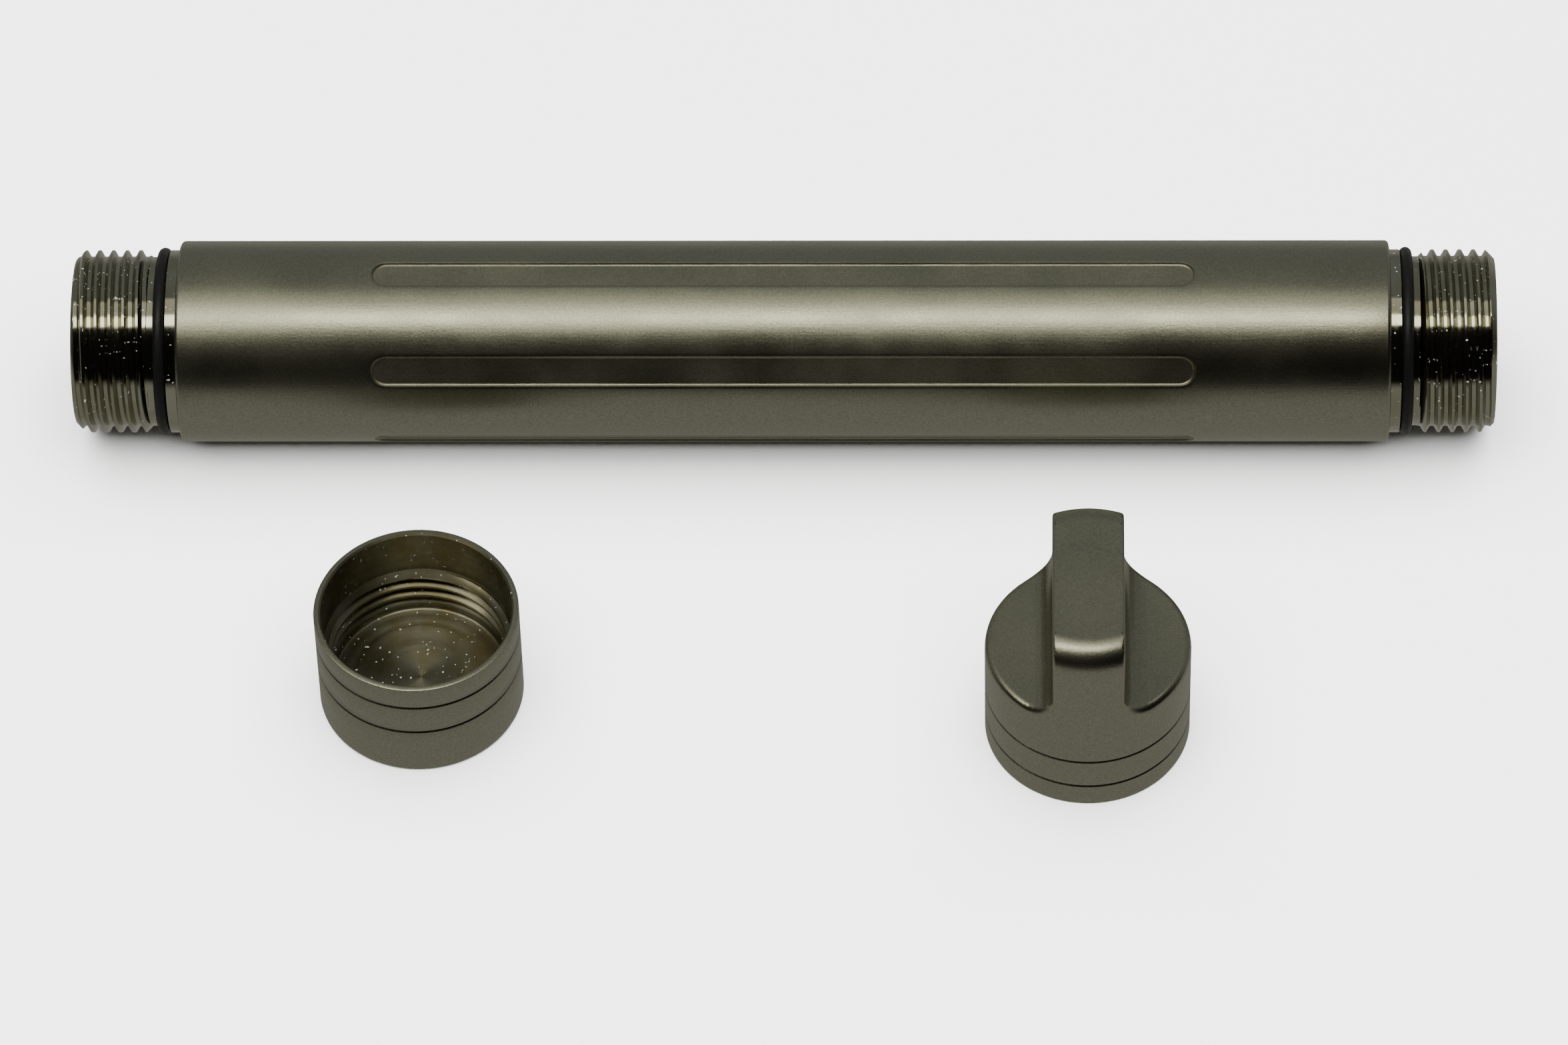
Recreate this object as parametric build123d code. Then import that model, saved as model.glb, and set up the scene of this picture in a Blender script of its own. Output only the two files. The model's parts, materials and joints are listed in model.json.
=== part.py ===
from build123d import *
import math
import os

# Screw-cap storage tube: a straight fluted tube, threaded and sealed at both ends, with a plain cap
# and a finned cap that stand beside it.
# Frame, in millimetres: the origin is on the tube's own axis at the middle of its length, +X runs
# along the tube, +Z is up and the table is at z = -BODY_R. The caps stand on the -Y side.

# ---- tube: driving dimensions ----
BODY_D = 22.0              # outer diameter of the tube and of both caps
BODY_LENGTH = 132.0        # from shoulder to shoulder
SHOULDER_CHAMFER = 0.45
END_LENGTH = 11.5          # each threaded end, beyond its shoulder
BORE_D = 16.5              # straight through the tube
BORE_CHAMFER = 0.3

# ---- screw thread, M20 x 1.5 with truncated crests and roots, right-hand ----
PITCH = 1.5
THREAD_D = 20.0            # over the crests of the tube's thread
THREAD_DEPTH = 0.7
CREST_FLAT = 0.28
FLANK_ANGLE = 30.0         # each flank, from the plane across the axis
MALE_CHAMFER = 0.95        # at the outer end of the tube's thread
THREAD_LEAD_IN = 0.85      # the first groove is centred this far before the thread's full diameter
RIGHT_THREAD_ANGLE = 0.0   # where each thread starts, turned about the axis from the table side
LEFT_THREAD_ANGLE = 156.0
FEMALE_CLEARANCE = 0.1     # radial, between the tube's thread and the cap's
CUTTER_OVERLAP = 0.12      # how far a thread cutter stands out of the metal

# ---- what lies between the shoulder and the thread, measured outward from the shoulder ----
LAND_WIDTH = 1.2
RING_SECTION = 1.3         # thickness of the sealing ring
RING_GROOVE_WIDTH = 1.35
RING_GROOVE_D = 18.0       # diameter of the groove's floor
RING_FLAT = 0.03           # how far the ring is flattened on the groove's floor
RELIEF_D = 18.5            # run-out for the threading tool
RELIEF_WIDTH = 0.65

# ---- flutes: shallow flat-floored slots along the body ----
FLUTE_COUNT = 6
FLUTE_LENGTH = 89.5
FLUTE_WIDTH = 3.4
FLUTE_DEPTH = 0.45
FLUTE_CORNER = 0.25
FLUTE_FIRST_ANGLE = 32.5   # above the horizontal on the -Y side

# ---- caps ----
PLAIN_CAP_HEIGHT = 14.0
CAP_EDGE_ROUND = 0.5       # outer edge of the closed end
MOUTH_CHAMFER = 0.2
COUNTERBORE_D = 20.5       # plain bore at the mouth, which closes over the sealing ring
COUNTERBORE_DEPTH = 6.8
CAP_DEPTH = 11.7           # from the mouth to the flat floor
CAP_THREAD_STOP = 0.6      # the thread ends this far short of the floor
FLOOR_ROUND = 0.3
GROOVE_HEIGHTS = (3.1, 7.25)   # the two turned lines, from the mouth
GROOVE_WIDTH = 0.32
GROOVE_DEPTH = 0.2

# ---- the finned cap, above its mouth ----
SCOOP_HEIGHT = 14.0        # floor of the scoop on each side of the fin
FIN_HEIGHT = 25.0          # top of the fin
FIN_THICKNESS = 7.6
FIN_TOP_ROUND = 3.0        # turned on the blank before the sides are milled away
SCOOP_ROUND = 3.0          # between the fin's sides and the scoop floor
SCOOP_EDGE_ROUND = 0.8     # outer edge of the scoop floor

# ---- where the caps stand ----
PLAIN_CAP_XY = (-38.7, -39.7)
FIN_CAP_XY = (33.0, -44.1)

# ---- worked out from the above ----
BODY_R = BODY_D / 2
THREAD_R = THREAD_D / 2
ROOT_R = THREAD_R - THREAD_DEPTH
BORE_R = BORE_D / 2
SHOULDER_X = BODY_LENGTH / 2
END_X = SHOULDER_X + END_LENGTH
TABLE_Z = -BODY_R
FLANK_SLOPE = math.tan(math.radians(FLANK_ANGLE))
RING_R = RING_SECTION / 2
RING_CENTRE_R = RING_GROOVE_D / 2 + RING_R - RING_FLAT
GROOVE_START = SHOULDER_X + LAND_WIDTH
RELIEF_START = GROOVE_START + RING_GROOVE_WIDTH
THREAD_START = RELIEF_START + RELIEF_WIDTH
FEMALE_MINOR_R = ROOT_R + FEMALE_CLEARANCE
FEMALE_MAJOR_R = THREAD_R + FEMALE_CLEARANCE


def groove_outline(shallow_r, deep_r):
    """Half widths of a thread groove where it leaves the metal and at its root."""
    open_half = (PITCH - CREST_FLAT) / 2
    return open_half, open_half - abs(deep_r - shallow_r) * FLANK_SLOPE


def thread_cutters(shallow_r, deep_r, start, turns, first_angle=0.0):
    """The helical groove of a right-hand thread about +X, as one solid to cut away for each turn."""
    outward = 1 if shallow_r > deep_r else -1
    open_half, root_half = groove_outline(shallow_r, deep_r)
    over_half = open_half + CUTTER_OVERLAP * FLANK_SLOPE
    over_r = shallow_r + CUTTER_OVERLAP * outward
    corners = [(-over_half, over_r), (over_half, over_r), (root_half, deep_r), (-root_half, deep_r)]
    section = make_face(Polyline(*corners[::outward], close=True))
    # a helix climbs along +Z from (radius, 0, 0): turn it so that it climbs along +X from +Y
    path = Plane(origin=(0, 0, 0), x_dir=(0, 1, 0), z_dir=(1, 0, 0)) * Helix(PITCH, PITCH, shallow_r)
    one_turn = Rot(first_angle, 0, 0) * sweep(section, path=path, is_frenet=True)
    return [Pos(start + i * PITCH, 0, 0) * one_turn for i in range(turns)]


def turned(points):
    """A solid of revolution about +X from (axial, radial) points."""
    return revolve(make_face(Polyline(*points, close=True)), Axis.X)


def flute_cutters():
    """The flutes, as flat-floored slots with round ends spaced evenly about the axis."""
    floor_r = BODY_R - FLUTE_DEPTH
    slot = Plane.XY * SlotOverall(FLUTE_LENGTH, FLUTE_WIDTH)
    tool = extrude(slot, amount=2.0)
    tool = fillet(tool.faces().sort_by(Axis.Z)[0].edges(), FLUTE_CORNER)
    tool = Pos(0, 0, floor_r) * tool
    step = 360 / FLUTE_COUNT
    # the tool is modelled at the top, 90 degrees above the -Y horizontal
    return [Rot(90 - FLUTE_FIRST_ANGLE - i * step, 0, 0) * tool for i in range(FLUTE_COUNT)]


def end_outline():
    """Points (x, r) of the right-hand end, from the shoulder chamfer to the bore."""
    relief_r = RELIEF_D / 2
    return [
        (SHOULDER_X - SHOULDER_CHAMFER, BODY_R),
        (SHOULDER_X, BODY_R - SHOULDER_CHAMFER),
        (SHOULDER_X, THREAD_R),
        (GROOVE_START, THREAD_R),
        (GROOVE_START, RING_GROOVE_D / 2),
        (RELIEF_START, RING_GROOVE_D / 2),
        (RELIEF_START, relief_r),
        (THREAD_START, relief_r),
        (THREAD_START + (THREAD_R - relief_r), THREAD_R),
        (END_X - MALE_CHAMFER, THREAD_R),
        (END_X, THREAD_R - MALE_CHAMFER),
        (END_X, BORE_R + BORE_CHAMFER),
        (END_X - BORE_CHAMFER, BORE_R),
    ]


def tube():
    right = end_outline()
    left = [(-x, r) for x, r in reversed(right)]
    solid = turned(left + right)
    start = THREAD_START - THREAD_LEAD_IN
    turns = math.ceil((END_X - start) / PITCH) + 1
    right_thread = thread_cutters(THREAD_R, ROOT_R, start, turns, RIGHT_THREAD_ANGLE)
    left_thread = thread_cutters(THREAD_R, ROOT_R, start, turns, LEFT_THREAD_ANGLE)
    left_thread = [Rot(0, 0, 180) * turn for turn in left_thread]
    for cutter in [*right_thread, *left_thread, *flute_cutters()]:
        solid = solid - cutter
    return solid


def sealing_ring(side):
    """A round-section ring, flattened a little where it sits on the groove's floor."""
    centre_x = side * (GROOVE_START + RING_R)
    ring = Pos(centre_x, 0, 0) * Rot(0, 90, 0) * Torus(RING_CENTRE_R, RING_R)
    floor = Pos(centre_x, 0, 0) * Rot(0, 90, 0) * Cylinder(RING_GROOVE_D / 2, 3 * RING_SECTION)
    return ring - floor


def turned_line(height):
    """A V groove round the outside of a cap, at a height above its mouth."""
    return turned([
        (height - GROOVE_WIDTH / 2, BODY_R + 0.01),
        (height, BODY_R - GROOVE_DEPTH),
        (height + GROOVE_WIDTH / 2, BODY_R + 0.01),
    ])


def cap_inside():
    """The hollow of a cap, opening at x = 0 and running along +X to its floor."""
    counterbore_r = COUNTERBORE_D / 2
    step = counterbore_r - FEMALE_MINOR_R
    hollow = turned([
        (-1, 0),
        (-1, counterbore_r + MOUTH_CHAMFER),
        (0, counterbore_r + MOUTH_CHAMFER),
        (MOUTH_CHAMFER, counterbore_r),
        (COUNTERBORE_DEPTH - step, counterbore_r),
        (COUNTERBORE_DEPTH, FEMALE_MINOR_R),
        (CAP_DEPTH - FLOOR_ROUND, FEMALE_MINOR_R),
        (CAP_DEPTH, FEMALE_MINOR_R - FLOOR_ROUND),
        (CAP_DEPTH, 0),
    ])
    stop = CAP_DEPTH - CAP_THREAD_STOP
    turns = math.ceil((stop - COUNTERBORE_DEPTH) / PITCH) + 1
    thread = thread_cutters(FEMALE_MINOR_R, FEMALE_MAJOR_R, stop - PITCH / 2 - turns * PITCH, turns)
    return [hollow, *thread]


def cap_outside(length, edge_round):
    """The outer cylinder of a cap along +X, with its mouth at x = 0."""
    body = Pos(length / 2, 0, 0) * Rot(0, 90, 0) * Cylinder(BODY_R, length)
    body = chamfer(body.faces().sort_by(Axis.X)[0].edges(), MOUTH_CHAMFER)
    return fillet(body.faces().sort_by(Axis.X)[-1].edges(), edge_round)


def hollowed(body):
    """Cut the inside and the two turned lines into the outer form of a cap."""
    for cutter in [*cap_inside(), *(turned_line(h) for h in GROOVE_HEIGHTS)]:
        body = body - cutter
    return body


def plain_cap():
    """The plain cap, standing on its closed end with its mouth up."""
    cap = hollowed(cap_outside(PLAIN_CAP_HEIGHT, CAP_EDGE_ROUND))
    x, y = PLAIN_CAP_XY
    return Pos(x, y, TABLE_Z + PLAIN_CAP_HEIGHT) * Rot(0, 90, 0) * cap


def scoop(side):
    """What is milled away on one side of the fin, as a solid along Y, in the standing frame."""
    inner = FIN_THICKNESS / 2
    outer = BODY_R + 2
    round_centre_x = inner + SCOOP_ROUND
    path = [
        Line((inner, FIN_HEIGHT + 1), (inner, SCOOP_HEIGHT + SCOOP_ROUND)),
        RadiusArc((inner, SCOOP_HEIGHT + SCOOP_ROUND), (round_centre_x, SCOOP_HEIGHT), -SCOOP_ROUND),
        Line((round_centre_x, SCOOP_HEIGHT), (outer, SCOOP_HEIGHT)),
        Line((outer, SCOOP_HEIGHT), (outer, FIN_HEIGHT + 1)),
        Line((outer, FIN_HEIGHT + 1), (inner, FIN_HEIGHT + 1)),
    ]
    section = make_face(Plane.XZ * Wire(Curve() + path))
    solid = extrude(section, amount=BODY_D, both=True)
    return solid if side > 0 else solid.mirror(Plane.YZ)


def fin_cap():
    """The finned cap, standing on its mouth with the fin up and its sides facing +X and -X."""
    upright = Rot(0, -90, 0) * cap_outside(FIN_HEIGHT, FIN_TOP_ROUND)
    for cutter in [scoop(1), scoop(-1)]:
        upright = upright - cutter
    rims = [
        edge for edge in upright.edges().filter_by(GeomType.CIRCLE)
        if abs(edge.center().Z - SCOOP_HEIGHT) < 0.01
    ]
    upright = fillet(rims, SCOOP_EDGE_ROUND)
    inside = [Rot(0, -90, 0) * c for c in cap_inside()]
    lines = [Rot(0, -90, 0) * turned_line(h) for h in GROOVE_HEIGHTS]
    for cutter in [*inside, *lines]:
        upright = upright - cutter
    x, y = FIN_CAP_XY
    return Pos(x, y, TABLE_Z) * upright


NODES = {
    "tube": tube(),
    "left_sealing_ring": sealing_ring(-1),
    "right_sealing_ring": sealing_ring(1),
    "plain_cap": plain_cap(),
    "fin_cap": fin_cap(),
}

os.makedirs("parts", exist_ok=True)
for name, shape in NODES.items():
    export_step(shape, os.path.join("parts", name + ".step"))
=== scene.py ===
"""Looks of a pocket storage tube: fluted titanium body, sealing rings, plain cap and finned cap."""

import json
import math

import bmesh
import bpy
from mathutils import Matrix, Vector


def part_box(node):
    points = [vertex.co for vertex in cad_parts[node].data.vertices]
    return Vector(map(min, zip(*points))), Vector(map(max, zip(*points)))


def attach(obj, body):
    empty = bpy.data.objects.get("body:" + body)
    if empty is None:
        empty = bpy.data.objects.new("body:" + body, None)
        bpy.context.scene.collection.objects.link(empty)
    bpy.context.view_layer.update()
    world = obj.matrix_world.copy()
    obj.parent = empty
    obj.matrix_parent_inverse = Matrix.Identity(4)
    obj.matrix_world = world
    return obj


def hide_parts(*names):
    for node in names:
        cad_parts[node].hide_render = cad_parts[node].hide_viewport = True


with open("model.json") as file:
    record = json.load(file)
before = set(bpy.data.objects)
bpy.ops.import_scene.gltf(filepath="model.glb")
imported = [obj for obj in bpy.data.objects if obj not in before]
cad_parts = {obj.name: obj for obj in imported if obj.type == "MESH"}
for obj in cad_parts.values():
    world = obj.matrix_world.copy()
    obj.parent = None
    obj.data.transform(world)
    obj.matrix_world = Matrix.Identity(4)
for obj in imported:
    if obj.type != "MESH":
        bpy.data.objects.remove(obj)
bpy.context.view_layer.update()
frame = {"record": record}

MM = 0.001
TURN = 2 * math.pi

# ---- sizes in millimetres, read from the frame where it states them ----
mounts = {mount["name"]: mount for mount in frame["record"]["mounts"]}
BODY_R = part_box("tube")[1].z / MM
END_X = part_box("tube")[1].x / MM
TABLE_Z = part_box("plain_cap")[0].z / MM
BORE_R = mounts["tube_bore"]["dims"]["r_mm"]
SHOULDER_X = mounts["right_thread"]["pos_m"][0] / MM
BORE_CHAMFER = 0.3
SHOULDER_ROUND = 0.45

# ---- thread ----
PITCH = 1.5
THREAD_R = 10.0
THREAD_DEPTH = 0.7
CREST_FLAT = 0.28
FLANK_SLOPE = math.tan(math.radians(30))
OPEN_HALF = (PITCH - CREST_FLAT) / 2
ROOT_HALF = OPEN_HALF - THREAD_DEPTH * FLANK_SLOPE
MALE_CHAMFER = 0.95
FEMALE_CLEARANCE = 0.1
RIGHT_THREAD_ANGLE = 0.0
LEFT_THREAD_ANGLE = math.radians(156)

# ---- between shoulder and thread, along +X from the middle of the body ----
LAND_WIDTH = 1.2
LAND_CHAMFER = 0.06
RING_GROOVE_WIDTH = 1.35
RELIEF_WIDTH = 0.65
THREAD_LEAD_IN = 0.85
RING_FLAT = 0.03
LAND_END = SHOULDER_X + LAND_WIDTH
GROOVE_END = LAND_END + RING_GROOVE_WIDTH
THREAD_START = GROOVE_END + RELIEF_WIDTH
THREAD_PHASE_X = THREAD_START - THREAD_LEAD_IN
GROOVE_R = 9.0
RELIEF_R = 9.25
RING_R = 0.65
RING_CENTRE_R = GROOVE_R + RING_R - RING_FLAT

# ---- flutes ----
FLUTE_COUNT = 6
FLUTE_FIRST_ANGLE = math.radians(32.5)
FLUTE_LENGTH = 89.5
FLUTE_WIDTH = 3.4
FLUTE_DEPTH = 0.45
FLUTE_CORNER = 0.25
FLUTE_RIM = 0.35
# where the mesh has an edge: parts of the way round the floor's corner, and distances past the rim
FLUTE_CORNER_STEPS = (0.0, 0.3, 0.55, 0.75, 0.9, 1.0)
FLUTE_RIM_STEPS = (0.06, 0.14, 0.25, 0.38)
FLUTE_FLOOR_MARGIN = 0.06

# ---- caps, measured from the mouth ----
PLAIN_CAP_HEIGHT = (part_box("plain_cap")[1].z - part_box("plain_cap")[0].z) / MM
FIN_HEIGHT = (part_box("fin_cap")[1].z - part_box("fin_cap")[0].z) / MM
CAP_DEPTH = 11.7
COUNTERBORE_R = 10.25
COUNTERBORE_DEPTH = 6.8
CAP_THREAD_STOP = 11.1
CAP_THREAD_RUN_OUT = 0.4
CAP_MINOR_R = THREAD_R - THREAD_DEPTH + FEMALE_CLEARANCE
TURNED_LINES = (3.1, 7.25)
LINE_WIDTH = 0.32
LINE_DEPTH = 0.2
LINE_LIP = 0.03
CAP_FLOOR_ROUND = 0.3
CAP_EDGE_ROUND = 0.5
MOUTH_CHAMFER = 0.2
SCOOP_HEIGHT = 14.0
SCOOP_ROUND = 3.0
SCOOP_EDGE_ROUND = 0.8
FIN_HALF = 3.8
FIN_TOP_ROUND = 3.0
FIN_EDGE_ROUND = 0.3
SHORT_EDGE = 0.2    # the rounding needs edges at least this long


# ================= node helpers =================

def put(tree, socket, value):
    """Link a socket or set a constant."""
    if isinstance(value, bpy.types.NodeSocket):
        tree.links.new(value, socket)
    else:
        socket.default_value = value


def math_node(tree, operation, *values):
    node = tree.nodes.new("ShaderNodeMath")
    node.operation = operation
    for socket, value in zip(node.inputs, values):
        put(tree, socket, value)
    return node.outputs[0]


def named_number(tree, name):
    """A field that reads a number kept on the mesh."""
    node = tree.nodes.new("GeometryNodeInputNamedAttribute")
    node.data_type = "FLOAT"
    node.inputs["Name"].default_value = name
    return node.outputs["Attribute"]


def new_cut_tree(name, sizes):
    """A geometry tree with a mesh, a finish and named sizes as inputs."""
    tree = bpy.data.node_groups.new(name, "GeometryNodeTree")
    tree.interface.new_socket("Blank", in_out="INPUT", socket_type="NodeSocketGeometry")
    tree.interface.new_socket("Finish", in_out="INPUT", socket_type="NodeSocketMaterial")
    for size in sizes:
        tree.interface.new_socket(size, in_out="INPUT", socket_type="NodeSocketFloat")
    tree.interface.new_socket("Cut", in_out="OUTPUT", socket_type="NodeSocketGeometry")
    entry = tree.nodes.new("NodeGroupInput")
    return tree, entry.outputs


def finish_cut_tree(tree, given, zone, position, painted=None):
    """Move the points of one zone and give its faces, or the painted ones among them, their finish."""
    move = tree.nodes.new("GeometryNodeSetPosition")
    put(tree, move.inputs["Geometry"], given["Blank"])
    put(tree, move.inputs["Selection"], zone)
    put(tree, move.inputs["Position"], position)
    real = tree.nodes.new("GeometryNodeRealizeInstances")
    put(tree, real.inputs["Geometry"], move.outputs["Geometry"])
    paint = tree.nodes.new("GeometryNodeSetMaterial")
    put(tree, paint.inputs["Geometry"], real.outputs["Geometry"])
    put(tree, paint.inputs["Selection"], painted or zone)
    put(tree, paint.inputs["Material"], given["Finish"])
    leave = tree.nodes.new("NodeGroupOutput")
    put(tree, leave.inputs[0], paint.outputs["Geometry"])
    return tree


def point_parts(tree):
    """x, y, z and distance from the X axis of each point."""
    position = tree.nodes.new("GeometryNodeInputPosition").outputs[0]
    split = tree.nodes.new("ShaderNodeSeparateXYZ")
    put(tree, split.inputs[0], position)
    x, y, z = split.outputs
    square = math_node(tree, "ADD", math_node(tree, "MULTIPLY", y, y), math_node(tree, "MULTIPLY", z, z))
    return x, y, z, math_node(tree, "SQRT", square)


def moved_out(tree, x, y, z, radius, new_radius):
    """The point with its distance from the X axis changed."""
    factor = math_node(tree, "DIVIDE", new_radius, radius)
    join = tree.nodes.new("ShaderNodeCombineXYZ")
    put(tree, join.inputs[0], x)
    put(tree, join.inputs[1], math_node(tree, "MULTIPLY", y, factor))
    put(tree, join.inputs[2], math_node(tree, "MULTIPLY", z, factor))
    return join.outputs[0]


def thread_tree():
    """Cuts a right-hand thread into a turned blank that lies along X.

    End is 1 for a thread that climbs towards +X and -1 for the same one turned end for end. Side is 1
    for a thread on the outside of the blank and -1 for one inside a bore.
    """
    sizes = ["Pitch", "Phase", "First angle", "End", "Side", "Edge radius", "Depth"]
    sizes += ["Open half", "Root half", "Corner", "Fade end", "Fade length"]
    tree, given = new_cut_tree("cut_thread", sizes)
    x, y, z, radius = point_parts(tree)
    along = math_node(tree, "MULTIPLY", x, given["End"])
    across = math_node(tree, "MULTIPLY", y, given["End"])
    angle = math_node(tree, "SUBTRACT", math_node(tree, "ARCTAN2", z, across), given["First angle"])
    turns = math_node(tree, "DIVIDE", angle, TURN)
    steps = math_node(tree, "DIVIDE", math_node(tree, "SUBTRACT", along, given["Phase"]), given["Pitch"])
    phase = math_node(tree, "ADD", math_node(tree, "SUBTRACT", steps, turns), 0.5)
    offset = math_node(tree, "SUBTRACT", math_node(tree, "FRACT", phase), 0.5)
    from_groove = math_node(tree, "MULTIPLY", math_node(tree, "ABSOLUTE", offset), given["Pitch"])
    run = math_node(tree, "SUBTRACT", given["Open half"], given["Root half"])
    flank = math_node(tree, "DIVIDE", math_node(tree, "SUBTRACT", given["Open half"], from_groove), run)
    flank = math_node(tree, "SMOOTH_MAX", flank, 0.0, given["Corner"])
    flank = math_node(tree, "SMOOTH_MIN", flank, 1.0, given["Corner"])
    left = math_node(tree, "SUBTRACT", given["Fade end"], along)
    fade = math_node(tree, "DIVIDE", left, given["Fade length"])
    fade = math_node(tree, "MINIMUM", math_node(tree, "MAXIMUM", fade, 0.0), 1.0)
    depth = math_node(tree, "MULTIPLY", math_node(tree, "MULTIPLY", flank, fade), given["Depth"])
    edge = math_node(tree, "MULTIPLY", given["Edge radius"], given["Side"])
    groove = math_node(tree, "SUBTRACT", edge, depth)
    blank = math_node(tree, "MULTIPLY", radius, given["Side"])
    cut = math_node(tree, "MULTIPLY", math_node(tree, "MINIMUM", blank, groove), given["Side"])
    zone = math_node(tree, "MULTIPLY", named_number(tree, "thread_zone"), given["End"])
    zone = math_node(tree, "GREATER_THAN", zone, 0.5)
    return finish_cut_tree(tree, given, zone, moved_out(tree, x, y, z, radius, cut))


def flute_tree():
    """Mills flat-floored, round-ended flutes, evenly spaced about X, into a cylindrical blank."""
    sizes = ["Count", "First angle", "Length", "Width", "Depth", "Corner", "Rim", "Body radius"]
    tree, given = new_cut_tree("mill_flutes", sizes)
    x, y, z, radius = point_parts(tree)
    angle = math_node(tree, "ARCTAN2", z, math_node(tree, "MULTIPLY", y, -1.0))
    angle = math_node(tree, "SUBTRACT", angle, given["First angle"])
    half_step = math_node(tree, "DIVIDE", math.pi, given["Count"])
    back = math_node(tree, "MULTIPLY", half_step, -1.0)
    local = math_node(tree, "WRAP", angle, half_step, back)
    across = math_node(tree, "MULTIPLY", math_node(tree, "SINE", local), given["Body radius"])
    half_width = math_node(tree, "MULTIPLY", given["Width"], 0.5)
    spine = math_node(tree, "SUBTRACT", math_node(tree, "MULTIPLY", given["Length"], 0.5), half_width)
    beyond = math_node(tree, "SUBTRACT", math_node(tree, "ABSOLUTE", x), spine)
    beyond = math_node(tree, "MAXIMUM", beyond, 0.0)
    square = math_node(tree, "MULTIPLY", across, across)
    from_spine = math_node(tree, "SQRT", math_node(tree, "MULTIPLY_ADD", beyond, beyond, square))
    floor = math_node(tree, "SUBTRACT", given["Body radius"], given["Depth"])
    floor = math_node(tree, "DIVIDE", floor, math_node(tree, "COSINE", local))
    inner = math_node(tree, "SUBTRACT", half_width, given["Corner"])
    climb = math_node(tree, "DIVIDE", math_node(tree, "SUBTRACT", from_spine, inner), given["Corner"])
    climb = math_node(tree, "MINIMUM", math_node(tree, "MAXIMUM", climb, 0.0), 1.0)
    climb = math_node(tree, "SUBTRACT", 1.0, math_node(tree, "MULTIPLY", climb, climb))
    climb = math_node(tree, "SUBTRACT", 1.0, math_node(tree, "SQRT", climb))
    rise = math_node(tree, "SUBTRACT", given["Body radius"], floor)
    past_rim = math_node(tree, "MAXIMUM", math_node(tree, "SUBTRACT", from_spine, half_width), 0.0)
    cut = math_node(tree, "ADD", math_node(tree, "MULTIPLY_ADD", rise, climb, floor), past_rim)
    cut = math_node(tree, "SMOOTH_MIN", cut, radius, given["Rim"])
    zone = math_node(tree, "GREATER_THAN", named_number(tree, "flute_zone"), 0.5)
    milled = math_node(tree, "MULTIPLY", zone, math_node(tree, "LESS_THAN", from_spine, half_width))
    return finish_cut_tree(tree, given, zone, moved_out(tree, x, y, z, radius, cut), milled)


def cut_with(piece, tree, values):
    """Add a cutting tree to a blank, its inputs set by the sockets' identifiers."""
    modifier = piece.modifiers.new(tree.name, "NODES")
    modifier.node_group = tree
    keys = {item.name: item.identifier for item in tree.interface.items_tree if item.in_out == "INPUT"}
    for name, value in values.items():
        modifier[keys[name]] = value


def settle(piece):
    """Turn what the modifiers make into the piece's own plain mesh."""
    graph = bpy.context.evaluated_depsgraph_get()
    graph.update()
    made = bpy.data.meshes.new_from_object(piece.evaluated_get(graph))
    piece.modifiers.clear()
    old = piece.data
    piece.data = made
    bpy.data.meshes.remove(old)


# ================= turned blanks =================

def flute_steps():
    """Distances from a flute's middle line at which its floor, corner and rim have an edge."""
    half = FLUTE_WIDTH / 2
    corner = [half - FLUTE_CORNER * (1 - part) for part in FLUTE_CORNER_STEPS]
    return [half - FLUTE_CORNER - FLUTE_FLOOR_MARGIN, *corner, *[half + past for past in FLUTE_RIM_STEPS]]


def ring_columns():
    """Angles round the axis, closer together where the sides of the flutes will be."""
    across = [0.5, 1.0, *flute_steps(), 2.4, 2.9, 3.5, 4.1, 4.7, 5.2]
    local = [math.asin(t / BODY_R) for t in across]
    step = TURN / FLUTE_COUNT
    sector = sorted([0.0, *local, *[-a for a in local], step / 2])
    # elevation above -Y is turned into the angle from +Y towards +Z
    columns = []
    for flute in range(FLUTE_COUNT):
        middle = FLUTE_FIRST_ANGLE + flute * step
        columns += [(math.pi - (middle + a)) % TURN for a in sector]
    return sorted(columns)


FLUTED_COLUMNS = ring_columns()
EVEN_COLUMNS = [TURN * i / 192 for i in range(192)]
FIN_CAP_COLUMNS = [TURN * i / 100 for i in range(100)]


def line_radius(outline, x):
    """Radius of a blank's outline, given as rising (x, r) points, at x."""
    for (x0, r0), (x1, r1) in zip(outline, outline[1:]):
        if x <= x1:
            return r0 + (r1 - r0) * max(0.0, (x - x0) / (x1 - x0))
    return outline[-1][1]


def thread_rows(outline, phase, first_angle, end=1):
    """Rows that follow the helix of a thread, held to the blank's outline at both ends."""
    # across one groove: just outside and inside its mouth, down the flank, and over its root
    offsets = [-OPEN_HALF - 0.07, -OPEN_HALF, -OPEN_HALF + 0.05, -0.42, -ROOT_HALF - 0.05, -ROOT_HALF]
    offsets += [-ROOT_HALF + 0.06, 0.0]
    offsets += [-value for value in reversed(offsets[:-1])]
    start, stop = outline[0][0], outline[-1][0]
    first = math.floor((start - phase) / PITCH) - 2
    last = math.ceil((stop - phase) / PITCH) + 2

    def row(along):
        def place(angle):
            turned = math.pi - angle if end < 0 else angle
            x = along + PITCH * (turned - first_angle) / TURN
            x = min(max(x, start), stop)
            return end * x, line_radius(outline, x)
        return place

    return [row(phase + k * PITCH + offset) for k in range(first, last + 1) for offset in offsets]


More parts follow.
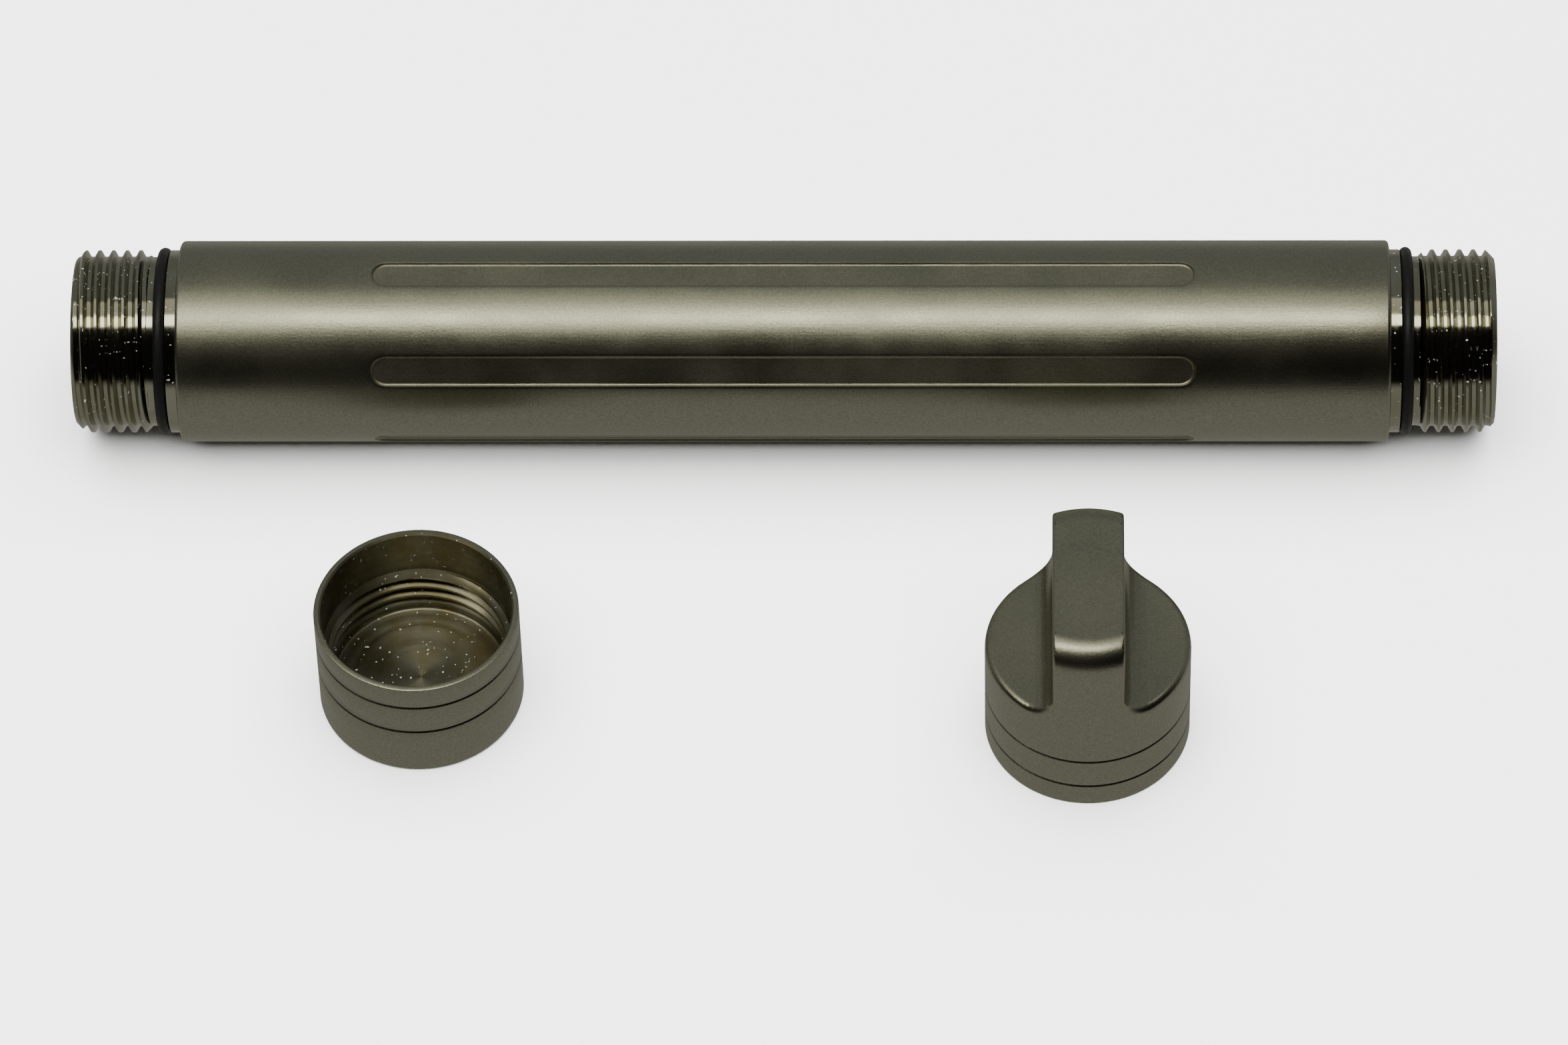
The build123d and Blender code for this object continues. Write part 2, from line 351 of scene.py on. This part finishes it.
def flute_rows():
    """Rows along the body; near the flutes' ends they and the columns bend round with the outline."""
    half = FLUTE_WIDTH / 2
    spine = FLUTE_LENGTH / 2 - half
    steps = [0.0, 0.5, 1.0, *flute_steps(), 2.4, 2.9]
    positive = [spine * part for part in (0.0, 0.2, 0.4, 0.6, 0.8)] + [spine + step for step in steps]
    positive += [spine + 6, spine + 12, spine + 18, SHOULDER_X - SHOULDER_ROUND]
    sector = TURN / FLUTE_COUNT

    def row(x):
        def place(angle):
            beyond = abs(x) - spine
            elevation = math.pi - angle - FLUTE_FIRST_ANGLE
            local = (elevation + sector / 2) % sector - sector / 2
            across = BODY_R * math.sin(local)
            if beyond <= 0 or (across == 0 and beyond == 0):
                return x, BODY_R, angle
            reach = max(beyond, abs(across))
            hold = min(max((half + 1.4 - reach) / 1.2, 0.0), 1.0)
            shrink = 1 + (reach / math.hypot(beyond, across) - 1) * hold
            moved = math.asin(across * shrink / BODY_R)
            return math.copysign(spine + beyond * shrink, x), BODY_R, angle - (moved - local)
        return place

    return [row(-x) for x in reversed(positive[1:])] + [row(x) for x in positive]


def turned_blank(name, rows, zones, finishes, materials, columns):
    """A closed turned form from rows of (x, r) points; a row of radius 0 is a pole."""
    mesh = bpy.data.meshes.new(name)
    form = bmesh.new()
    thread = form.verts.layers.float.new("thread_zone")
    flute = form.verts.layers.float.new("flute_zone")
    columns = [*columns, columns[0] + TURN]
    rings = []
    for row, zone in zip(rows, zones):
        ring = []
        for angle in columns:
            placed = row(angle) if callable(row) else row
            x, radius = placed[:2]
            at = placed[2] if len(placed) == 3 else angle
            vertex = form.verts.new((x, radius * math.cos(at), radius * math.sin(at)))
            vertex[thread] = zone if abs(zone) == 1 else 0
            vertex[flute] = 1 if zone == 2 else 0
            ring.append(vertex)
        rings.append(ring)
    for (low, high), finish in zip(zip(rings, rings[1:]), finishes):
        for i in range(len(columns) - 1):
            face = form.faces.new((low[i], low[i + 1], high[i + 1], high[i]))
            face.material_index = finish
    bmesh.ops.remove_doubles(form, verts=form.verts, dist=0.0008)
    bmesh.ops.recalc_face_normals(form, faces=form.faces)
    form.to_mesh(mesh)
    form.free()
    for material in materials:
        mesh.materials.append(material)
    piece = bpy.data.objects.new(name, mesh)
    bpy.context.scene.collection.objects.link(piece)
    return piece


class Profile:
    """Collects the rows of a turned form, with the zone and finish of each stretch."""

    def __init__(self):
        self.rows, self.zones, self.finishes = [], [], []

    def add(self, rows, finish, zone=0):
        for row in rows:
            self.rows.append(row)
            self.zones.append(zone)
            self.finishes.append(finish)

    def blank(self, name, materials, columns=EVEN_COLUMNS):
        return turned_blank(name, self.rows, self.zones, self.finishes[1:], materials, columns)


def arc(centre, radius, start, stop, steps):
    """Points of an arc in the (x, r) plane, its angles in degrees."""
    points = []
    for i in range(steps + 1):
        angle = math.radians(start + (stop - start) * i / steps)
        points.append((centre[0] + radius * math.cos(angle), centre[1] + radius * math.sin(angle)))
    return points


def place(piece, matrix):
    """Put the piece where it belongs, in metres, inside its own mesh."""
    piece.data.transform(Matrix.Scale(MM, 4) @ matrix)
    piece.data.update()


def smooth(piece, angle=40):
    """Smooth shading, with a crisp line where two faces meet at more than the angle."""
    piece.data.shade_smooth()
    piece.data.set_sharp_from_angle(angle=math.radians(angle))


# ================= finishes =================

def new_material(name):
    material = bpy.data.materials.new(name)
    material.use_nodes = True
    tree = material.node_tree
    shader = tree.nodes["Principled BSDF"]
    coordinates = tree.nodes.new("ShaderNodeTexCoord").outputs["Object"]
    return material, tree, shader, coordinates


def scaled(tree, vector, scale):
    node = tree.nodes.new("ShaderNodeMapping")
    put(tree, node.inputs["Vector"], vector)
    node.inputs["Scale"].default_value = scale
    return node.outputs[0]


def noise(tree, vector, scale, detail=2.0, roughness=0.5):
    node = tree.nodes.new("ShaderNodeTexNoise")
    put(tree, node.inputs["Vector"], vector)
    node.inputs["Scale"].default_value = scale
    node.inputs["Detail"].default_value = detail
    node.inputs["Roughness"].default_value = roughness
    return node.outputs["Fac"]


def spread(tree, value, low, high, new_low, new_high):
    node = tree.nodes.new("ShaderNodeMapRange")
    for name, number in zip(("From Min", "From Max", "To Min", "To Max"), (low, high, new_low, new_high)):
        node.inputs[name].default_value = number
    put(tree, node.inputs["Value"], value)
    return node.outputs[0]


def two_tone(tree, factor, first, second):
    node = tree.nodes.new("ShaderNodeMix")
    node.data_type = "RGBA"
    put(tree, node.inputs["Factor"], factor)
    node.inputs["A"].default_value = (*first, 1)
    node.inputs["B"].default_value = (*second, 1)
    return node.outputs["Result"]


def bumps(tree, heights):
    """Chain bump nodes: (height, strength, distance in metres)."""
    normal = None
    for height, strength, distance in heights:
        node = tree.nodes.new("ShaderNodeBump")
        node.inputs["Strength"].default_value = strength
        node.inputs["Distance"].default_value = distance
        put(tree, node.inputs["Height"], height)
        if normal is not None:
            put(tree, node.inputs["Normal"], normal)
        normal = node.outputs[0]
    return normal


def blasted_titanium(name, finish):
    """Fine bead-blasted metal, slightly warm, with sparkle and faint lengthwise marks."""
    grain_strength, stroke_strength, smoothest, roughest = finish
    material, tree, shader, where = new_material(name)
    grain = noise(tree, where, 4600, detail=2, roughness=0.6)
    cloud = noise(tree, where, 90, detail=3)
    strokes = noise(tree, scaled(tree, where, (0.03, 1, 1)), 5200, detail=2, roughness=0.6)
    tone = math_node(tree, "MULTIPLY_ADD", grain, 0.85, math_node(tree, "MULTIPLY", cloud, 0.15))
    colour = two_tone(tree, spread(tree, tone, 0.35, 0.65, 0, 1), (0.365, 0.36, 0.28), (0.48, 0.475, 0.38))
    put(tree, shader.inputs["Base Color"], colour)
    shader.inputs["Metallic"].default_value = 1.0
    put(tree, shader.inputs["Roughness"], spread(tree, cloud, 0.35, 0.65, smoothest, roughest))
    normal = bumps(tree, [(grain, grain_strength, 0.00003), (strokes, stroke_strength, 0.00003)])
    put(tree, shader.inputs["Normal"], normal)
    return material


def turned_titanium(name, centre, axis, finish):
    """Lathe-turned metal with fine marks that run round an axis through a centre, and a little dust."""
    light, dark, smoothest, roughest, mark_strength = finish
    material, tree, shader, where = new_material(name)
    shift = tree.nodes.new("ShaderNodeVectorMath")
    shift.operation = "SUBTRACT"
    put(tree, shift.inputs[0], where)
    shift.inputs[1].default_value = centre
    split = tree.nodes.new("ShaderNodeSeparateXYZ")
    put(tree, split.inputs[0], shift.outputs[0])
    along = split.outputs[axis]
    first, second = [split.outputs[i] for i in range(3) if i != axis]
    square = math_node(tree, "MULTIPLY", first, first)
    radius = math_node(tree, "SQRT", math_node(tree, "MULTIPLY_ADD", second, second, square))
    rings = tree.nodes.new("ShaderNodeCombineXYZ")
    put(tree, rings.inputs[0], along)
    put(tree, rings.inputs[1], radius)
    put(tree, rings.inputs[2], math_node(tree, "MULTIPLY", noise(tree, where, 120), 0.0006))
    fine = noise(tree, rings.outputs[0], 7000, detail=2)
    broad = noise(tree, rings.outputs[0], 1800, detail=3)
    tint = noise(tree, where, 240, detail=3)
    dust = spread(tree, noise(tree, where, 2900, detail=0), 0.80, 0.82, 0, 1)
    metal = two_tone(tree, spread(tree, tint, 0.42, 0.6, 0, 1), light, dark)
    colour = tree.nodes.new("ShaderNodeMix")
    colour.data_type = "RGBA"
    put(tree, colour.inputs["Factor"], dust)
    put(tree, colour.inputs["A"], metal)
    colour.inputs["B"].default_value = (0.16, 0.16, 0.15, 1)
    put(tree, shader.inputs["Base Color"], colour.outputs["Result"])
    put(tree, shader.inputs["Metallic"], spread(tree, dust, 0, 1, 1, 0))
    put(tree, shader.inputs["Roughness"], spread(tree, broad, 0.3, 0.7, smoothest, roughest))
    shader.inputs["Anisotropic"].default_value = 0.75
    shader.inputs["Anisotropic Rotation"].default_value = 0.25
    around = tree.nodes.new("ShaderNodeVectorMath")
    around.operation = "CROSS_PRODUCT"
    around.inputs[0].default_value = [1.0 if i == axis else 0.0 for i in range(3)]
    put(tree, around.inputs[1], shift.outputs[0])
    put(tree, shader.inputs["Tangent"], around.outputs[0])
    normal = bumps(tree, [(broad, mark_strength, 0.00002), (fine, mark_strength, 0.00001)])
    put(tree, shader.inputs["Normal"], normal)
    return material


# strength of the grain and of the lengthwise marks, least and greatest roughness
BLASTED = (0.35, 0.15, 0.28, 0.36)
MILLED = (0.3, 0.6, 0.36, 0.48)

# light tone, dark tone, least and greatest roughness, strength of the marks
POLISHED = ((0.46, 0.455, 0.37), (0.40, 0.385, 0.29), 0.10, 0.19, 0.2)
BORED = ((0.36, 0.35, 0.265), (0.30, 0.27, 0.165), 0.30, 0.44, 0.55)


def seal_rubber():
    """Black moulded rubber with a thin film of grease and a little dust."""
    material, tree, shader, where = new_material("seal_rubber")
    grain = noise(tree, where, 2500, detail=3)
    dust = spread(tree, noise(tree, where, 1400, detail=4, roughness=0.7), 0.66, 0.74, 0, 1)
    put(tree, shader.inputs["Base Color"], two_tone(tree, dust, (0.002, 0.002, 0.002), (0.03, 0.03, 0.028)))
    shader.inputs["Specular IOR Level"].default_value = 0.3
    put(tree, shader.inputs["Roughness"], spread(tree, grain, 0.3, 0.7, 0.32, 0.5))
    put(tree, shader.inputs["Normal"], bumps(tree, [(grain, 0.2, 0.00002)]))
    return material


# ================= pieces =================

SATIN, BRIGHT = 0, 1
satin = blasted_titanium("blasted_titanium", BLASTED)
milled = blasted_titanium("milled_titanium", MILLED)
turned_along_x = turned_titanium("turned_titanium_tube", (0, 0, 0), 0, POLISHED)
cut_thread = thread_tree()
mill_flutes = flute_tree()


def thread_values(finish, **changes):
    values = {
        "Finish": finish, "Pitch": PITCH, "Phase": THREAD_PHASE_X, "First angle": 0.0, "End": 1.0,
        "Side": 1.0, "Edge radius": THREAD_R, "Depth": THREAD_DEPTH, "Open half": OPEN_HALF,
        "Root half": ROOT_HALF, "Corner": 0.10, "Fade end": 1000.0, "Fade length": 1.0,
    }
    values.update(changes)
    return values


def make_tube():
    """The body with both threaded ends, bored through."""
    thread_outline = [
        (THREAD_START, RELIEF_R), (THREAD_START + THREAD_R - RELIEF_R, THREAD_R),
        (END_X - MALE_CHAMFER, THREAD_R), (END_X, THREAD_R - MALE_CHAMFER),
    ]
    # from the shoulder outward
    corner = (SHOULDER_X - SHOULDER_ROUND, BODY_R - SHOULDER_ROUND)
    shoulder = arc(corner, SHOULDER_ROUND, 90, 0, 5)[1:]
    neck = [
        (SHOULDER_X, THREAD_R), (LAND_END - LAND_CHAMFER, THREAD_R), (LAND_END, THREAD_R - LAND_CHAMFER),
        (LAND_END, GROOVE_R), (GROOVE_END, GROOVE_R), (GROOVE_END, RELIEF_R), (THREAD_START, RELIEF_R),
    ]
    mouth = [(END_X, BORE_R + BORE_CHAMFER), (END_X - BORE_CHAMFER, BORE_R)]
    body = Profile()
    body.add([(-x, r) for x, r in reversed(mouth)], BRIGHT)
    body.add(reversed(thread_rows(thread_outline, THREAD_PHASE_X, LEFT_THREAD_ANGLE, -1)), BRIGHT, -1)
    body.add([(-x, r) for x, r in reversed(neck)], BRIGHT)
    body.add([(-x, r) for x, r in reversed(shoulder)], SATIN)
    body.add(flute_rows(), SATIN, 2)
    body.add(shoulder, SATIN)
    body.add(neck, BRIGHT)
    body.add(thread_rows(thread_outline, THREAD_PHASE_X, RIGHT_THREAD_ANGLE), BRIGHT, 1)
    body.add(mouth, BRIGHT)
    inside = END_X - BORE_CHAMFER
    body.add([(inside * part, BORE_R) for part in (0.9, 0.6, 0.2, -0.2, -0.6, -0.9, -1.0)], BRIGHT)
    tube = body.blank("tube", [satin, turned_along_x], FLUTED_COLUMNS)
    left_end = {"First angle": LEFT_THREAD_ANGLE, "End": -1.0}
    cut_with(tube, cut_thread, thread_values(turned_along_x))
    cut_with(tube, cut_thread, thread_values(turned_along_x, **left_end))
    cut_with(tube, mill_flutes, {
        "Finish": milled, "Count": FLUTE_COUNT, "First angle": FLUTE_FIRST_ANGLE,
        "Length": FLUTE_LENGTH, "Width": FLUTE_WIDTH, "Depth": FLUTE_DEPTH,
        "Corner": FLUTE_CORNER, "Rim": FLUTE_RIM, "Body radius": BODY_R,
    })
    settle(tube)
    place(tube, Matrix.Identity(4))
    smooth(tube)
    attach(tube, "tube")
    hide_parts("tube")


def make_ring(name, side, material):
    """A sealing ring, flattened a little on the floor of its groove."""
    centre_x = side * (LAND_END + RING_R)
    section = arc((centre_x, RING_CENTRE_R), RING_R, 0, 360, 28)
    ring = Profile()
    ring.add([(x, max(r, GROOVE_R)) for x, r in section], 0)
    piece = ring.blank(name, [material])
    place(piece, Matrix.Identity(4))
    smooth(piece)
    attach(piece, "tube")
    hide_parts(name)


def cap_profile(height, edge_round, edge_steps):
    """A cap along +X, its mouth at x = 0: from the middle of the inner floor out round to the top."""
    floor_edge = CAP_DEPTH - CAP_FLOOR_ROUND
    step = COUNTERBORE_R - CAP_MINOR_R
    thread_outline = [
        (COUNTERBORE_DEPTH - step, COUNTERBORE_R), (COUNTERBORE_DEPTH, CAP_MINOR_R),
        (floor_edge, CAP_MINOR_R),
    ]
    cap = Profile()
    cap.add([(CAP_DEPTH, r) for r in (0.0, 1.0, 3.0, 5.0, 7.0, 8.5)], BRIGHT)
    cap.add(arc((floor_edge, CAP_MINOR_R - CAP_FLOOR_ROUND), CAP_FLOOR_ROUND, 0, 90, 4), BRIGHT)
    cap.add(reversed(thread_rows(thread_outline, CAP_THREAD_STOP - PITCH / 2, 0.0)), BRIGHT, 1)
    mouth = [(2.0, COUNTERBORE_R), (MOUTH_CHAMFER, COUNTERBORE_R), (0.0, COUNTERBORE_R + MOUTH_CHAMFER)]
    cap.add(mouth, BRIGHT)
    cap.add([(0.0, BODY_R - MOUTH_CHAMFER), (0.06, BODY_R - 0.06), (MOUTH_CHAMFER, BODY_R)], SATIN)
    rim, lip = LINE_WIDTH / 2 + LINE_LIP, LINE_WIDTH / 2 - 0.02
    for line in TURNED_LINES:
        cap.add([
            (line - rim, BODY_R), (line - lip, BODY_R - LINE_LIP), (line, BODY_R - LINE_DEPTH),
            (line + lip, BODY_R - LINE_LIP), (line + rim, BODY_R),
        ], SATIN)
    sides = [x for x in (9.8, 12.3, 12.9, 16.5, 19.0, 21.4) if x < height - edge_round - 0.3]
    cap.add([(x, BODY_R) for x in sides], SATIN)
    cap.add(arc((height - edge_round, BODY_R - edge_round), edge_round, 90, 0, edge_steps), SATIN)
    cap.add([(height, 5.0), (height, 0.0)], SATIN)
    return cap


def cap_thread_values(finish):
    return thread_values(finish, **{
        "Phase": CAP_THREAD_STOP - PITCH / 2, "Side": -1.0, "Edge radius": CAP_MINOR_R,
        "Fade end": CAP_THREAD_STOP + CAP_THREAD_RUN_OUT, "Fade length": PITCH,
    })


def cap_centre(node):
    low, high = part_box(node)
    return (low.x + high.x) / 2 / MM, (low.y + high.y) / 2 / MM


def make_plain_cap():
    """The plain cap, standing mouth up."""
    x, y = cap_centre("plain_cap")
    bright = turned_titanium("turned_titanium_plain_cap", (x * MM, y * MM, 0), 2, BORED)
    cap = cap_profile(PLAIN_CAP_HEIGHT, CAP_EDGE_ROUND, 6).blank("plain_cap", [satin, bright])
    cut_with(cap, cut_thread, cap_thread_values(bright))
    settle(cap)
    stand = Matrix.Translation((x, y, TABLE_Z + PLAIN_CAP_HEIGHT)) @ Matrix.Rotation(math.pi / 2, 4, "Y")
    place(cap, stand)
    smooth(cap)
    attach(cap, "plain_cap")
    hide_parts("plain_cap")


def prism(name, section, half_length, material):
    """A closed bar along Y from a section of (x, z) points."""
    form = bmesh.new()
    ends = [[form.verts.new((x, y, z)) for x, z in section] for y in (-half_length, half_length)]
    form.faces.new(ends[0])
    form.faces.new(reversed(ends[1]))
    for i in range(len(section)):
        j = (i + 1) % len(section)
        form.faces.new((ends[0][i], ends[1][i], ends[1][j], ends[0][j]))
    bmesh.ops.recalc_face_normals(form, faces=form.faces)
    mesh = bpy.data.meshes.new(name)
    form.to_mesh(mesh)
    form.free()
    mesh.materials.append(material)
    piece = bpy.data.objects.new(name, mesh)
    bpy.context.scene.collection.objects.link(piece)
    return piece


def scoop_tool(side):
    """What the cutter takes away on one side of the fin."""
    inner, outer, top = FIN_HALF, BODY_R + 4, FIN_HEIGHT + 3
    round_part = arc((inner + SCOOP_ROUND, SCOOP_HEIGHT + SCOOP_ROUND), SCOOP_ROUND, 180, 270, 18)
    section = [(inner, top), *round_part, (outer, SCOOP_HEIGHT), (outer, top)]
    return prism("scoop_tool", [(side * x, z) for x, z in section], BODY_R + 6, satin)


def take_away(piece, tools):
    for tool in tools:
        modifier = piece.modifiers.new(tool.name, "BOOLEAN")
        modifier.operation = "DIFFERENCE"
        modifier.solver = "EXACT"
        modifier.object = tool
    settle(piece)
    for tool in tools:
        bpy.data.objects.remove(tool)


def is_flat(face):
    """Whether a face belongs to the fin's flat top or sides or to a scoop's floor."""
    level = face.normal.z > 0.9999 and face.calc_center_median().z > SCOOP_HEIGHT - 0.01
    return level or abs(face.normal.x) > 0.9999


def fin_edge_weight(edge):
    """How far an edge of the fin cap is rounded: fully at the scoop rims, lightly on the fin."""
    if len(edge.link_faces) != 2 or edge.calc_face_angle(0) < math.radians(35):
        return 0
    middle = (edge.verts[0].co + edge.verts[1].co) / 2
    if middle.z < SCOOP_HEIGHT - 0.1:
        return 0
    rise = min(max((middle.z - SCOOP_HEIGHT) / SCOOP_ROUND, 0.0), 1.0)
    return 1.0 + (FIN_EDGE_ROUND / SCOOP_EDGE_ROUND - 1.0) * rise


def tidy_fin_edges(piece):
    """Clear the flats of needless edges, even out the milled edges, and weigh them for rounding."""
    form = bmesh.new()
    form.from_mesh(piece.data)
    form.normal_update()
    paired = [edge for edge in form.edges if len(edge.link_faces) == 2]
    inner = [edge for edge in paired if all(map(is_flat, edge.link_faces))]
    milled = [vertex for vertex in form.verts if vertex.co.z > SCOOP_HEIGHT - 0.01]
    bmesh.ops.dissolve_limit(form, angle_limit=math.radians(0.5), verts=milled, edges=inner)
    moved = {}
    for edge in form.edges:
        kept, welded = edge.verts
        short = edge.calc_length() < SHORT_EDGE and fin_edge_weight(edge)
        if short and kept not in moved and welded not in moved and welded not in moved.values():
            moved[welded] = kept
    bmesh.ops.weld_verts(form, targetmap=moved)
    form.normal_update()
    weight = form.edges.layers.float.new("bevel_weight_edge")
    for edge in form.edges:
        edge[weight] = fin_edge_weight(edge)
    form.to_mesh(piece.data)
    form.free()


def make_fin_cap():
    """The finned cap, standing on its mouth."""
    x, y = cap_centre("fin_cap")
    bright = turned_titanium("turned_titanium_fin_cap", (x * MM, y * MM, 0), 2, BORED)
    cap = cap_profile(FIN_HEIGHT, FIN_TOP_ROUND, 8).blank("fin_cap", [satin, bright], FIN_CAP_COLUMNS)
    cut_with(cap, cut_thread, cap_thread_values(bright))
    settle(cap)
    cap.data.transform(Matrix.Rotation(-math.pi / 2, 4, "Y"))
    take_away(cap, [scoop_tool(1), scoop_tool(-1)])
    tidy_fin_edges(cap)
    rounding = cap.modifiers.new("edge_rounding", "BEVEL")
    rounding.limit_method = "WEIGHT"
    rounding.width = SCOOP_EDGE_ROUND
    rounding.segments = 5
    rounding.use_clamp_overlap = False
    rounding.loop_slide = False
    settle(cap)
    smooth(cap, 35)
    evening = cap.modifiers.new("even_normals", "WEIGHTED_NORMAL")
    evening.keep_sharp = True
    settle(cap)
    place(cap, Matrix.Translation((x, y, TABLE_Z)))
    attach(cap, "fin_cap")
    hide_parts("fin_cap")


make_tube()
rubber = seal_rubber()
make_ring("left_sealing_ring", -1, rubber)
make_ring("right_sealing_ring", 1, rubber)
make_plain_cap()
make_fin_cap()


# ================= table, light and camera =================

def pale_table():
    """A plain pale surface, far larger than the view."""
    material, tree, shader, where = new_material("pale_table")
    mottle = noise(tree, where, 3, detail=2)
    colour = two_tone(tree, mottle, (0.80, 0.80, 0.79), (0.84, 0.84, 0.83))
    put(tree, shader.inputs["Base Color"], colour)
    shader.inputs["Roughness"].default_value = 0.9
    form = bmesh.new()
    bmesh.ops.create_grid(form, x_segments=8, y_segments=8, size=3.0)
    mesh = bpy.data.meshes.new("table")
    form.to_mesh(mesh)
    form.free()
    mesh.transform(Matrix.Translation((0, 0, TABLE_Z * MM)))
    mesh.materials.append(material)
    table = bpy.data.objects.new("table", mesh)
    bpy.context.scene.collection.objects.link(table)
    table.visible_glossy = False


def panel(name, elevation, distance, width, depth, brightness, colour, shift=0.0, glossy=True):
    """An area light across X that faces the object, its elevation measured from the camera's side."""
    lamp = bpy.data.lights.new(name, "AREA")
    lamp.shape = "RECTANGLE"
    lamp.size = width
    lamp.size_y = depth
    # a panel of area A and radiance L gives out pi * A * L watts
    lamp.energy = math.pi * width * depth * brightness
    lamp.color = colour
    light = bpy.data.objects.new(name, lamp)
    angle = math.radians(elevation)
    direction = Vector((0, -math.cos(angle), math.sin(angle)))
    turn = direction.to_track_quat("Z", "Y").to_matrix().to_4x4()
    light.matrix_world = Matrix.Translation(direction * distance + Vector((shift, 0, 0))) @ turn
    light.visible_glossy = glossy
    bpy.context.scene.collection.objects.link(light)


def dim_room():
    """Surroundings that reflect in the metal: grey below, black on the near side, pale on the far side."""
    world = bpy.data.worlds.new("dim_room")
    world.use_nodes = True
    tree = world.node_tree
    direction = tree.nodes.new("ShaderNodeTexCoord").outputs["Generated"]
    split = tree.nodes.new("ShaderNodeSeparateXYZ")
    put(tree, split.inputs[0], direction)
    near_or_far = spread(tree, split.outputs[1], -0.1, 0.35, 0, 1)
    above = two_tone(tree, near_or_far, (0.006, 0.006, 0.006), (0.18, 0.19, 0.18))
    below = tree.nodes.new("ShaderNodeMix")
    below.data_type = "RGBA"
    put(tree, below.inputs["Factor"], spread(tree, split.outputs[2], -0.24, -0.06, 1, 0))
    put(tree, below.inputs["A"], above)
    below.inputs["B"].default_value = (0.275, 0.275, 0.25, 1)
    put(tree, tree.nodes["Background"].inputs["Color"], below.outputs["Result"])
    bpy.context.scene.world = world


WARM = (1.0, 0.98, 0.83)
COOL = (0.98, 0.985, 1.0)


def studio():
    dim_room()
    panel("strip_lamp", elevation=76.6, distance=1.1, width=1.3, depth=0.28, brightness=4.3,
          colour=WARM, shift=-0.35)
    panel("lamp_glow", elevation=95, distance=1.2, width=1.8, depth=0.44, brightness=0.55,
          colour=WARM, shift=-0.25)
    panel("soft_fill", elevation=90, distance=1.6, width=2.4, depth=2.4, brightness=12.0,
          colour=COOL, glossy=False)


def camera():
    """A long lens from above the near side, level with the tube."""
    distance, elevation, azimuth = 1.050, math.radians(51.4), math.radians(2.2)
    view_width, sensor = 0.171679, 36.0
    tube_above_middle, tube_right_of_middle = 0.019883, 0.000044
    back = Vector((
        math.sin(azimuth) * math.cos(elevation),
        -math.cos(azimuth) * math.cos(elevation),
        math.sin(elevation),
    ))
    along_tube = Vector((1, 0, 0))
    right = (along_tube - back * along_tube.dot(back)).normalized()
    up = back.cross(right)
    aim = -up * tube_above_middle - right * tube_right_of_middle
    data = bpy.data.cameras.new("camera")
    data.sensor_width = sensor
    data.lens = distance * sensor / view_width
    data.clip_start = 0.05
    data.clip_end = 20
    eye = bpy.data.objects.new("camera", data)
    rotation = Matrix((right, up, back)).transposed().to_4x4()
    eye.matrix_world = Matrix.Translation(aim + back * distance) @ rotation
    bpy.context.scene.collection.objects.link(eye)
    bpy.context.scene.camera = eye


pale_table()
studio()
camera()
